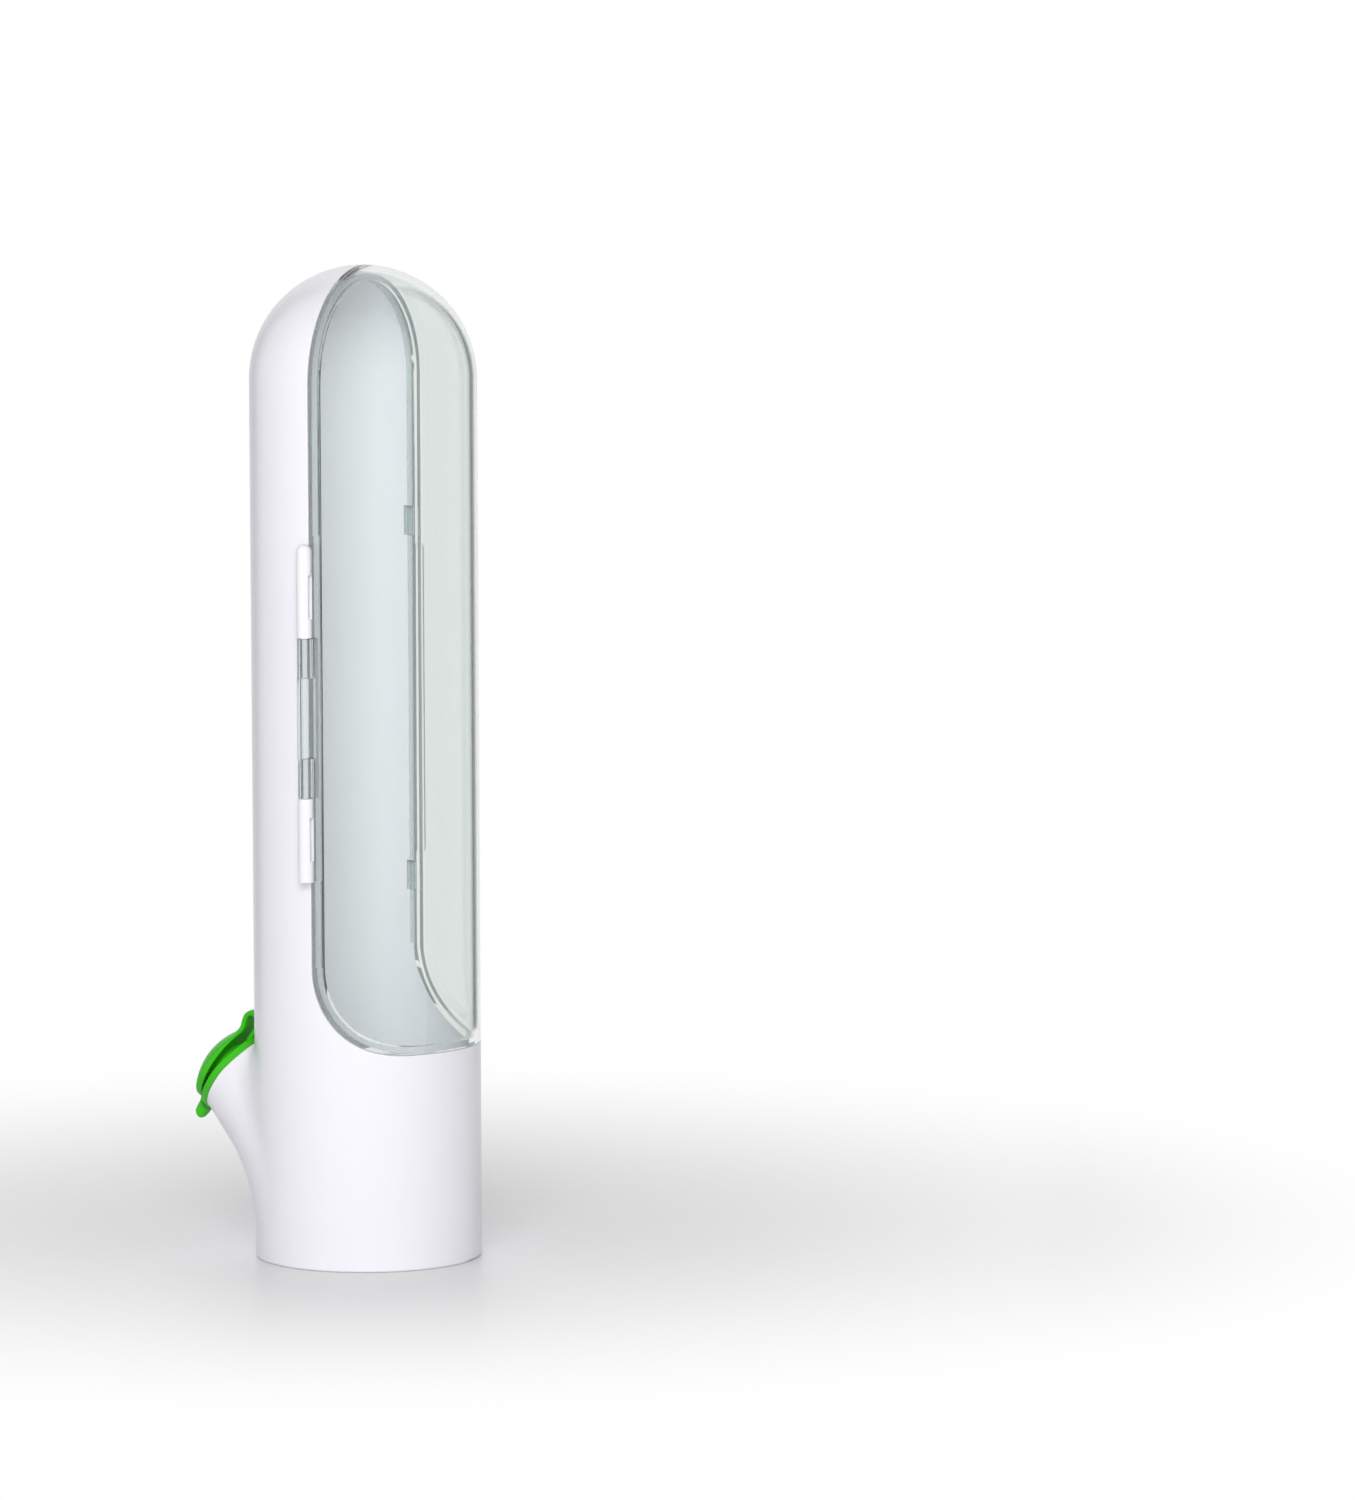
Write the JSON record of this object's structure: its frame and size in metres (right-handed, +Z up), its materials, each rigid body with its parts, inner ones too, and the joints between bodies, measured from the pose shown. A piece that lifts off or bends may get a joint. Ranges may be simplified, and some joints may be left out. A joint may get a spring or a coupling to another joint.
{
  "type": "herb keeper",
  "caption": "Upright capsule-shaped herb keeper with a clear hinged door, a water base and a capped rear filling spout.",
  "frame": {"origin": "centre of the standing ring, on the plane that the keeper stands on", "axes": "+Z up along the tube, -Y towards the door, hinge on -X, filling spout on +Y"},
  "size_m": [0.0707, 0.0896, 0.285],
  "materials": {
    "white_body": "gloss",
    "clear_door": "clear",
    "steel_pin": "polished",
    "green_cap": "satin"
  },
  "bodies": {
    "keeper": {"body": "white_body", "base_plate": "white_body", "upper_hinge_pin": "steel_pin", "lower_hinge_pin": "steel_pin", "cap_collar": "green_cap", "cap_strap": "green_cap"},
    "door": {"door": "clear_door"},
    "lid": {"cap_lid": "green_cap"}
  },
  "joints": [
    {"name": "door_hinge", "type": "hinge", "parent": "keeper", "child": "door", "pos_m": [-0.03515, 0, 0.1588], "axis": [0, 0, -1], "range_deg": [0, 180]},
    {"name": "lid_hinge", "type": "hinge", "parent": "keeper", "child": "lid", "pos_m": [0, 0.0358, 0.0642], "axis": [1, 0, 0], "range_deg": [0, 120], "deforming": ["cap_strap"]}
  ]
}
